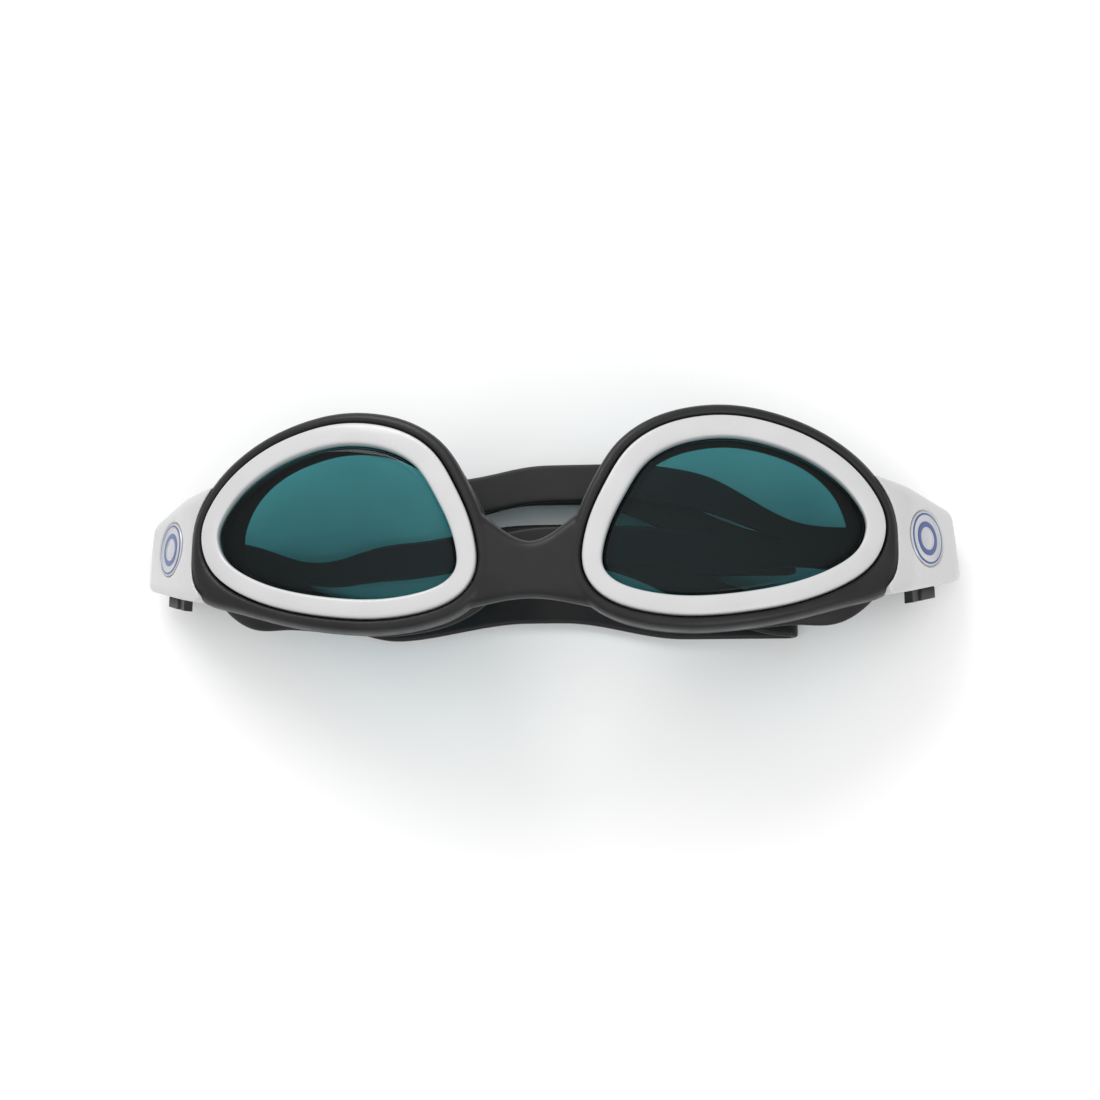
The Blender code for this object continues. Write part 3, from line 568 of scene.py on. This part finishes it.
def make_seals(look):
    """Soft face seals: a wall that widens into a rolled lip, turned out and in over the face."""
    # Offset, shares of the lip's and the eye opening's extra reach, share of the way to the face, lift.
    rows = [(1.2, 0, 0, 0, 0), (1.15, 0.1, 0, 0.12, 0), (0.85, 0.3, 0, 0.35, 0), (0.55, 0.55, 0, 0.62, 0),
            (1.0, 0.8, 0, 0.82, 0), (2.1, 0.95, 0, 0.95, 0), (2.85, 1, 0, 1, -0.2), (3.0, 1, 0, 1, -0.6),
            (2.7, 1, 0, 1, -0.95), (1.6, 0.7, 0, 1, -0.95), (0, 0.2, 0.2, 1, -0.6), (-1.8, 0, 0.6, 0.98, 0),
            (-3.2, 0, 0.9, 0.92, 0), (-3.65, 0, 1, 0.85, 0), (-3.4, 0, 0.95, 0.78, 0),
            (-2.2, 0, 0.5, 0.68, 0), (-1.5, 0, 0.2, 0.55, 0), (-2.4, 0, 0.05, 0.3, 0), (-3.2, 0, 0, 0.08, 0),
            (-3.3, 0, 0, 0, 0)]
    bm = bmesh.new()
    loops = []
    for offset, lip, eye, share, lift in rows:
        points = []
        for p in outline(offset * MM, extra=lambda e: lip * lip_extra(e) - eye * swell(e, EYE_CORNER)):
            start = front_z(p.x, p.y) - CUP_DEPTH - GAP
            points.append((p.x, p.y, start + (face_z(p.x, p.y) - start) * share + lift * MM))
        loops.append(loop_of(bm, points))
    for a, b in zip(loops, loops[1:] + loops[:1]):
        skin(bm, a, b)
    right = subdivided(mesh_object(bm, "face_seal_right", [look["silicone"]], 0), 1)
    return right, mirrored(right, "face_seal_left")


def cup_solid():
    """One cup's wall, with the groove that holds the rim and the lens."""
    profile = [(GAP / MM, -1.2), (0.5, -0.8), (1.0, -0.6), (1.8, -0.75), (2.4, -1.2), (2.75, -2.2),
               (2.8, -4.0), (2.75, -5.4), (2.4, -6.8), (1.8, -8.0), (-3.6, -8.0), (-3.6, -5.0),
               (-1.0, -5.0), (-1.0, -3.3), (GAP / MM, -3.3)]
    return ring("cup", profile, flared=True)


def bridge_solid():
    """The bridge over the nose, its ends sunk into the cups' walls."""
    columns, rows = 60, 28
    edge = [p for p in outline(1.1 * MM) if p.x < 30 * MM]
    bm = bmesh.new()
    grid = {}
    for i in range(columns + 1):
        u = 2 * i / columns - 1
        top = BRIDGE_TOP + BRIDGE_RISE * abs(u) ** 1.9
        foot = BRIDGE_FOOT - BRIDGE_SPREAD * u * u
        for j in range(rows + 1):
            v = 2 * j / rows - 1
            y = (top + foot) / 2 + (top - foot) / 2 * v
            x = u * nearest_x(edge, y)
            fullness = 1 + 0.2 * abs(u) ** 3
            half = BRIDGE_THICKNESS / 2 * fullness * math.sqrt(max(0.05, 1 - abs(v) ** 7))
            middle = CREST_Z + BRIDGE_FRONT - BRIDGE_THICKNESS / 2 * fullness - BROW_CURVE * y * y
            grid[i, j, 1] = bm.verts.new((x, y, middle + half))
            grid[i, j, -1] = bm.verts.new((x, y, middle - half))
    for i in range(columns):
        for j in range(rows):
            for k in (1, -1):
                bm.faces.new((grid[i, j, k], grid[i + 1, j, k], grid[i + 1, j + 1, k], grid[i, j + 1, k]))
    border = [(i, 0) for i in range(columns)] + [(columns, j) for j in range(rows)]
    border += [(i, rows) for i in range(columns, 0, -1)] + [(0, j) for j in range(rows, 0, -1)]
    for a, b in zip(border, border[1:] + border[:1]):
        bm.faces.new((grid[(*a, 1)], grid[(*b, 1)], grid[(*b, -1)], grid[(*a, -1)]))
    return mesh_object(bm, "bridge", (), 0)


def nearest_x(edge, y):
    """The x of an outline at a height y, read between its points."""
    ordered = sorted(edge, key=lambda p: abs(p.y - y))
    a, b = ordered[0], ordered[1]
    if abs(b.y - a.y) < 1e-7:
        return a.x
    share = max(0.0, min(1.0, (y - a.y) / (b.y - a.y)))
    return a.x + (b.x - a.x) * share


def make_frame(look):
    """Both cups and the bridge as one soft moulding."""
    right = cup_solid()
    left = mirrored(right, "cup_left")
    bridge = bridge_solid()
    joined = bmesh.new()
    for part in (right, left, bridge):
        joined.from_mesh(part.data)
    discard(right, left, bridge)
    return rounded(mesh_object(joined, "soft_frame", [look["rubber"]], 0), SOFT_VOXEL, 7)


# The side arms

def outer_t(s):
    """The outer face: its front curves down level with the cup, its rear is straight behind a crease."""
    crease_s, crease_t = ARM_CREASE
    if s < crease_s:
        return crease_t - FRONT_SLOPE * (crease_s - s) - FRONT_CURVE * (crease_s - s) ** 2
    return crease_t + REAR_SLOPE * (s - crease_s) - TAIL_DROP * smooth((s - 29 * MM) / (5 * MM))


def arm_body():
    """The arm's block before it is trimmed, a little larger all round than its outline."""
    steps, across = 44, 22
    bm = bmesh.new()
    rows = []
    for k in range(steps + 1):
        s = (ARM_END + 1.0 * MM) * k / steps
        foot, top = piecewise(ARM_FOOT, s) - 0.5 * MM, piecewise(ARM_TOP, s) + 0.5 * MM
        corners = []
        for j in range(across + 1):
            share = j / across
            shoulder = max(0.0, (abs(2 * share - 1) - 0.7) / 0.3)
            t = outer_t(s) - ARM_SHOULDER * shoulder ** 2.5
            corners.append(arm_point(s, foot + (top - foot) * share, t))
        corners += [arm_point(s, top, -ARM_THICKNESS), arm_point(s, foot, -ARM_THICKNESS)]
        rows.append(loop_of(bm, corners))
    lofted(bm, rows)
    bmesh.ops.triangulate(bm, faces=bm.faces)
    return mesh_object(bm, "arm_shell", (), 0)


def arm_outline_solid():
    """An upright prism with the arm's side outline and rounded rear corners."""
    foot = [Vector((s * MM, piecewise(ARM_FOOT, s * MM))) for s in range(8, 34)]
    top = [Vector((s * MM, piecewise(ARM_TOP, s * MM))) for s in range(1, 30)]
    loop = faired(resampled(foot + top[::-1], 180), 9)
    bm = bmesh.new()
    prism(bm, [[arm_point(p.x, p.y, t) for p in loop] for t in (-12 * MM, 6 * MM)])
    bmesh.ops.triangulate(bm, faces=bm.faces)
    return mesh_object(bm, "arm_outline", (), 0)


def badge_bed():
    """The round plug that makes room for the medallion in the arm's outer face."""
    radius = BADGE_RADIUS + 0.25 * MM
    low, high = outer_t(BADGE_S) - 0.6 * MM, outer_t(BADGE_S) + 2 * MM
    bm = bmesh.new()
    bmesh.ops.create_cone(bm, cap_ends=True, segments=BADGE_SEGMENTS, radius1=radius, radius2=radius,
                          depth=1.0)
    for v in bm.verts:
        t = low + (high - low) * (v.co.z + 0.5) + REAR_SLOPE * v.co.x
        v.co = arm_point(BADGE_S + v.co.x, BADGE_Y + v.co.y, t)
    return mesh_object(bm, "badge_bed")


def arm_tools():
    """What shapes the arm's block, in order, as (object, operation)."""
    wall = [(-10, 12), (CUP_OUT / MM - ARM_LAP, 12), (CUP_OUT / MM - ARM_LAP, -26), (-10, -26)]
    half = STRAP_WIDTH / 2 + GAP
    low, high = STRAP_MIDDLE - half, STRAP_MIDDLE + half
    tools = [(arm_outline_solid(), "INTERSECT"), (ring("cup_room", wall, flared=True), "DIFFERENCE")]
    hollows = (
        ("inside", (18.5 * MM, low - 1.6 * MM, -9 * MM), (ARM_END - 4.6 * MM, high + 1.0 * MM, ARM_ROOF)),
        ("mouth", (BAR_S - 4 * MM, low, -9 * MM),
         (ARM_END + 4 * MM, high, STRAP_T + STRAP_THICKNESS / 2 + GAP)),
        ("button_slot", (BUTTON_S[0] - 0.25 * MM, -18 * MM, BUTTON_T[0] - 0.25 * MM),
         (BUTTON_S[1] + 0.25 * MM, BUTTON_TIP[0] + BUTTON_TRAVEL + 0.3 * MM, BUTTON_T[1] + 0.25 * MM)))
    tools += [(block(*hollow), "DIFFERENCE") for hollow in hollows]
    return tools + [(badge_bed(), "DIFFERENCE")]


def make_arms(look):
    """White buckle bodies: trimmed to their outline and the cup, hollowed, and softened at every edge."""
    shell = arm_body()
    tools = arm_tools()
    for tool, operation in tools:
        cut(shell, tool, operation)
    baked(shell)
    discard(*[tool for tool, _ in tools])
    shell.data.materials.clear()
    shell.data.materials.append(look["white"])
    right = rounded(shell, ARM_VOXEL, 9)
    right.name = "buckle_body_right"
    return right, mirrored(right, "buckle_body_left")


def make_badges(look):
    """A round medallion: a dished silver disc with a raised blue outer ring and a blue middle ring."""
    # Radius and height in millimetres, and 1 where it is printed blue.
    profile = [(5.7, -0.55, 0), (5.75, -0.15, 0), (5.6, 0.02, 0), (5.4, 0.04, 1), (5.3, 0.12, 1),
               (4.95, 0.12, 1), (4.85, 0.02, 0), (4.4, -0.08, 0), (3.75, -0.1, 0), (3.6, 0.02, 1),
               (3.4, 0.06, 1), (2.4, 0.06, 1), (2.2, 0.02, 0), (2.1, -0.08, 0), (1.5, -0.02, 0),
               (0.8, 0.08, 0), (0.3, 0.11, 0)]
    turn = [2 * math.pi * k / BADGE_SEGMENTS for k in range(BADGE_SEGMENTS)]
    face = outer_t(BADGE_S) - 0.05 * MM
    bm = bmesh.new()
    loops = []
    for radius, rise, _ in profile:
        points = []
        for a in turn:
            s, y = radius * MM * math.cos(a), radius * MM * math.sin(a)
            points.append(arm_point(BADGE_S + s, BADGE_Y + y, face + rise * MM + REAR_SLOPE * s))
        loops.append(loop_of(bm, points))
    for k, (a, b) in enumerate(zip(loops, loops[1:])):
        for quad in skin(bm, a, b):
            quad.material_index = 1 if profile[k][2] and profile[k + 1][2] else 0
    bm.faces.new(loops[-1])
    bm.faces.new(loops[0])
    right = mesh_object(bm, "medallion_right", [look["silver"], look["blue"]], 35)
    return right, mirrored(right, "medallion_left")


def button_slab(name, span, t_high):
    """The button between two distances along the arm, from its pad to the sloped ends of its prongs."""
    (tip_y, tip_t), t_low = BUTTON_TIP, BUTTON_T[0]
    ends = []
    for s in span:
        foot = piecewise(ARM_FOOT, s) - BUTTON_PROUD
        corners = [(foot, t_low), (foot, t_high), (tip_y - RAMP_LENGTH, t_high), (tip_y, tip_t),
                   (tip_y, t_low)]
        ends.append([arm_point(s, y, t) for y, t in corners])
    bm = bmesh.new()
    prism(bm, ends)
    return mesh_object(bm, name)


def make_buttons(look):
    """The press button: a pad in two steps below the arm, and two prongs with sloped ends inside."""
    length, depth = BUTTON_STEP
    step = BUTTON_S[0] + length
    first = button_slab("press_button_right", (BUTTON_S[0], step + 0.05 * MM), BUTTON_T[1] - depth)
    second = button_slab("button_step", (step, BUTTON_S[1]), BUTTON_T[1])
    notch = block("notch", (NOTCH_S[0], NOTCH_FLOOR, -9 * MM), (NOTCH_S[1], -7 * MM, NOTCH_ROOF))
    cut(first, second, "UNION")
    cut(first, notch, "DIFFERENCE")
    baked(first)
    discard(second, notch)
    first.data.materials.append(look["dark"])
    softened(first, 0.22 * MM, 3)
    right = baked(first)
    right.data.set_sharp_from_angle(angle=math.radians(50))
    return right, mirrored(right, "press_button_left")


# The head strap

def arc(centre, radius, start, end, count=14):
    """Points between the ends of an arc."""
    return [centre + radius * Vector((math.cos(a), math.sin(a)))
            for a in (start + (end - start) * k / count for k in range(1, count))]


def line(a, b, step):
    """Points from a to b, no further apart than the step."""
    count = max(1, int((b - a).length / step))
    return [a.lerp(b, k / count) for k in range(count + 1)]


def eased(a, b, count):
    """Points between a and b that leave and arrive level."""
    return [Vector((a.x + (b.x - a.x) * k / count, a.y + (b.y - a.y) * smooth(k / count)))
            for k in range(1, count)]


def tail_path(side):
    """The strap's middle line in the x-z plane from inside a buckle, round the bar, to just beneath it."""
    stations = [STRAP_START_S]
    for k in range(RIB_COUNT):
        middle = RIB_FIRST_S + RIB_PITCH * k
        stations += [middle + RIB_WIDTH * share for share in (-0.5, -0.25, 0.25, 0.5)]
    stations += [26.6 * MM, BAR_S]
    points = []
    for s in stations:
        p = arm_point(s, 0, STRAP_T, side)
        points.append(Vector((p.x, p.z)))
    p = arm_point(BAR_S, 0, BAR_T, side)
    bar = Vector((p.x, p.z))
    start = math.pi / 2 - ARM_ANGLE
    turn = [start + (-math.pi / 2 - start) * k / 12 for k in range(1, 13)]
    return points + [bar + TURN_RADIUS * Vector((side * math.cos(a), math.sin(a))) for a in turn]


def strap_path():
    """The strap's middle line in the x-z plane, from the left buckle through two folds to the right one."""
    left, right = tail_path(-1), tail_path(1)
    layers = [STRAP_THICKNESS / 2 + 2 * FOLD_RADIUS * k for k in range(3)]
    settle = Vector((-62 * MM, layers[0]))
    step = 3 * MM
    path = left + eased(left[-1], settle, 9)
    path += line(settle, Vector((RIGHT_FOLD_X, layers[0])), step)
    path += arc(Vector((RIGHT_FOLD_X, layers[0] + FOLD_RADIUS)), FOLD_RADIUS, -math.pi / 2, math.pi / 2)
    path += line(Vector((RIGHT_FOLD_X, layers[1])), Vector((LEFT_FOLD_X, layers[1])), step)
    path += arc(Vector((LEFT_FOLD_X, layers[1] + FOLD_RADIUS)), FOLD_RADIUS, -math.pi / 2, -math.pi * 1.5)
    lift_off = Vector((66 * MM, layers[2]))
    path += line(Vector((LEFT_FOLD_X, layers[2])), lift_off, step)
    path += eased(lift_off, right[-1], 9)
    return path + right[::-1]


def travel(reach, legs):
    """A value that moves smoothly from each leg to the next, given as (distance in millimetres, value)."""
    at = reach / MM
    for (at_0, value_0), (at_1, value_1) in zip(legs, legs[1:]):
        if at <= at_1:
            return value_0 + (value_1 - value_0) * smooth((at - at_0) / (at_1 - at_0))
    return legs[-1][1]


def strap_row(reach, total):
    """The y of each line along the strap, for its two bands, and whether the slot is open here."""
    end = total / MM
    spread = travel(reach, [(0, 0), (36, 0), (62, 1), (end - 62, 1), (end - 38, 0), (end, 0)])
    centre = travel(reach, [(0, STRAP_MIDDLE), (22, STRAP_MIDDLE), (50, LOW_LAYER), (60, LOW_LAYER),
                            (90, ARCH_LAYER), (98, ARCH_LAYER), (124, LOW_LAYER), (150, LOW_LAYER),
                            (196, HIGH_LAYER), (206, HIGH_LAYER), (222, HIGH_LAYER - FOLD_DIP),
                            (242, HIGH_LAYER), (end - 78, HIGH_LAYER), (end - 30, STRAP_MIDDLE),
                            (end, STRAP_MIDDLE)])
    outer = STRAP_WIDTH / 2 + (SPLIT_WIDTH - STRAP_WIDTH) / 2 * spread
    slot = SLOT_WIDTH / 2 * max(spread, MIN_SPREAD)
    across = (0.0, 0.12, 0.5, 0.88, 1.0)
    low = [centre - outer + (outer - slot) * k for k in across]
    high = [centre + slot + (outer - slot) * k for k in across]
    return low + high, spread > MIN_SPREAD


def on_rib(reach):
    middles = [RIB_FIRST_S - STRAP_START_S + RIB_PITCH * k for k in range(RIB_COUNT)]
    return any(abs(reach - middle) < RIB_WIDTH * 0.3 for middle in middles)


def strap_rows(bm):
    """Vertices across the strap at each point of its path: upper row, lower row and whether it is split."""
    path = strap_path()
    lengths = [0.0]
    for a, b in zip(path, path[1:]):
        lengths.append(lengths[-1] + (b - a).length)
    total = lengths[-1]
    rows = []
    for i, p in enumerate(path):
        along = path[min(i + 1, len(path) - 1)] - path[max(i - 1, 0)]
        normal = Vector((-along.y, along.x)).normalized()
        reach = lengths[i]
        under = STRAP_THICKNESS / 2 + (RIB_HEIGHT if on_rib(min(reach, total - reach)) else 0)
        ys, is_split = strap_row(reach, total)
        above, below = p + normal * STRAP_THICKNESS / 2, p - normal * under
        rows.append((loop_of(bm, [(above.x, y, above.y) for y in ys]),
                     loop_of(bm, [(below.x, y, below.y) for y in ys]), is_split))
    return rows


def make_strap(look):
    """The split silicone strap, from one buckle to the other through its folds."""
    bm = bmesh.new()
    rows = strap_rows(bm)
    last = len(rows[0][0]) - 1
    inner = last // 2
    for (up0, down0, split0), (up1, down1, split1) in zip(rows, rows[1:]):
        slotted = split0 and split1
        for k in range(last):
            if k == inner and slotted:
                continue
            bm.faces.new((up0[k], up0[k + 1], up1[k + 1], up1[k]))
            bm.faces.new((down0[k], down0[k + 1], down1[k + 1], down1[k]))
        for k in (0, inner, inner + 1, last) if slotted else (0, last):
            bm.faces.new((up0[k], up1[k], down1[k], down0[k]))
    for (_, _, split0), (up, down, split1), (_, _, split2) in zip(rows, rows[1:], rows[2:]):
        if split1 and split0 != split2:
            bm.faces.new((up[inner], up[inner + 1], down[inner + 1], down[inner]))
    for up, down, _ in (rows[0], rows[-1]):
        for k in range(last):
            bm.faces.new((up[k], up[k + 1], down[k + 1], down[k]))
    return subdivided(mesh_object(bm, "head_strap", [look["silicone"]], 0), 2)


# Putting it together

def place(piece, body, slot, *nodes):
    """Hangs a piece on a body, in place of the CAD nodes it stands for."""
    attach(piece, body)
    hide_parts(*nodes)


def dress_nodes(look):
    """The small inner CAD nodes stay, with their own materials and softened edges."""
    kinds = (("arm_cover", "white", 0.15 * MM), ("strap_bar", "dark", 0), ("pawl", "dark", 0.08 * MM),
             ("button_spring", "steel", 0))
    for name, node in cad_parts.items():
        for start, key, bevel in kinds:
            if not name.startswith(start):
                continue
            node.data.materials.clear()
            node.data.materials.append(look[key])
            if bevel:
                softened(node, bevel, 2).angle_limit = math.radians(40)


def make_goggles(look):
    """Every piece on its body, each pair as right and left."""
    place(make_frame(look), "goggles", "soft_black", "frame")
    place(make_strap(look), "goggles", "black_silicone", "strap")
    for make, slot, node, body in ((make_rims, "white_plastic", "rim", "goggles"),
                                   (make_lenses, "teal_lens", "lens", "goggles"),
                                   (make_seals, "black_silicone", "seal", "goggles"),
                                   (make_arms, "white_plastic", "arm_shell", "goggles"),
                                   (make_badges, "badge_blue", "badge", "goggles"),
                                   (make_buttons, "dark_plastic", "button", "button")):
        for piece, tag in zip(make(look), ("right", "left")):
            place(piece, body if body == "goggles" else f"{tag}_{body}", slot, f"{node}_{tag}")
    dress_nodes(look)


# The studio

FLOOR_COLOUR = (0.90, 0.90, 0.90)
HORIZON_LIGHT = (0.32, 0.32, 0.33)  # the room's glow near the floor and overhead
SKY_LIGHT = (1.18, 1.18, 1.18)
CAMERA_YAW = 0.1024                 # angles in radians, lens in millimetres
CAMERA_TILT = 0.23973
CAMERA_ROLL = 0.00702
CAMERA_DISTANCE = 0.33868
CAMERA_LENS = 55.97
CAMERA_SHIFT = (0.0195, -0.0393)


def make_floor():
    """A wide pale floor just under the goggles."""
    bm = bmesh.new()
    bmesh.ops.create_grid(bm, x_segments=8, y_segments=8, size=1.5)
    material, tree, shader = new_material("studio_floor")
    where = coordinates(tree)
    tone = ranged(tree, noise(tree, where, 12, 3), 0.3, 0.7, 0, 1)
    shade = tuple(c * 0.99 for c in FLOOR_COLOUR)
    connect(tree, blended(tree, tone, FLOOR_COLOUR, shade), shader.inputs["Base Color"])
    shader.inputs["Roughness"].default_value = 0.7
    floor = mesh_object(bm, "floor", [material])
    floor.location.z = -0.1 * MM


def area_light(name, position, size, power, aim=(0, 0, 0.02)):
    """A rectangular light that faces a point."""
    data = bpy.data.lights.new(name, "AREA")
    data.shape = "RECTANGLE"
    data.size, data.size_y = size
    data.energy = power
    light = bpy.data.objects.new(name, data)
    light.location = position
    light.rotation_euler = (Vector(position) - Vector(aim)).to_track_quat("Z", "Y").to_euler()
    bpy.context.scene.collection.objects.link(light)


def make_studio():
    """A plain room that is brighter overhead, a soft key light and a weak fill."""
    scene = bpy.context.scene
    scene.world = bpy.data.worlds.new("studio")
    scene.world.use_nodes = True
    tree = scene.world.node_tree
    background = tree.nodes["Background"]
    where = tree.nodes.new("ShaderNodeTexCoord")
    split = tree.nodes.new("ShaderNodeSeparateXYZ")
    connect(tree, where.outputs["Generated"], split.inputs["Vector"])
    height = ranged(tree, split.outputs["Z"], 0.0, 0.9, 0, 1)
    connect(tree, blended(tree, height, HORIZON_LIGHT, SKY_LIGHT), background.inputs["Color"])
    area_light("key", (-0.35, 0.75, 0.62), (0.7, 0.4), 4.8)
    area_light("fill", (0.55, -0.6, 0.6), (0.6, 0.4), 1.8)
    scene.view_settings.view_transform = "Standard"


def make_camera():
    """The camera looks down on the goggles, a little from the cheek side and from the right."""
    back = Vector((math.sin(CAMERA_YAW) * math.cos(CAMERA_TILT), -math.sin(CAMERA_TILT),
                   math.cos(CAMERA_YAW) * math.cos(CAMERA_TILT)))
    right = Vector((0, 1, 0)).cross(back).normalized()
    up = back.cross(right)
    turn = Matrix.Rotation(CAMERA_ROLL, 3, back)
    right, up = turn @ right, turn @ up
    data = bpy.data.cameras.new("camera")
    data.lens = CAMERA_LENS
    data.shift_x, data.shift_y = CAMERA_SHIFT
    data.clip_start = 0.01
    camera = bpy.data.objects.new("camera", data)
    camera.matrix_world = Matrix.Translation(back * CAMERA_DISTANCE + Vector((0, 0, CREST_Z))) @ Matrix(
        (right, up, back)).transposed().to_4x4()
    bpy.context.scene.collection.objects.link(camera)
    bpy.context.scene.camera = camera


make_camera()
make_studio()
make_floor()
make_goggles(make_materials())
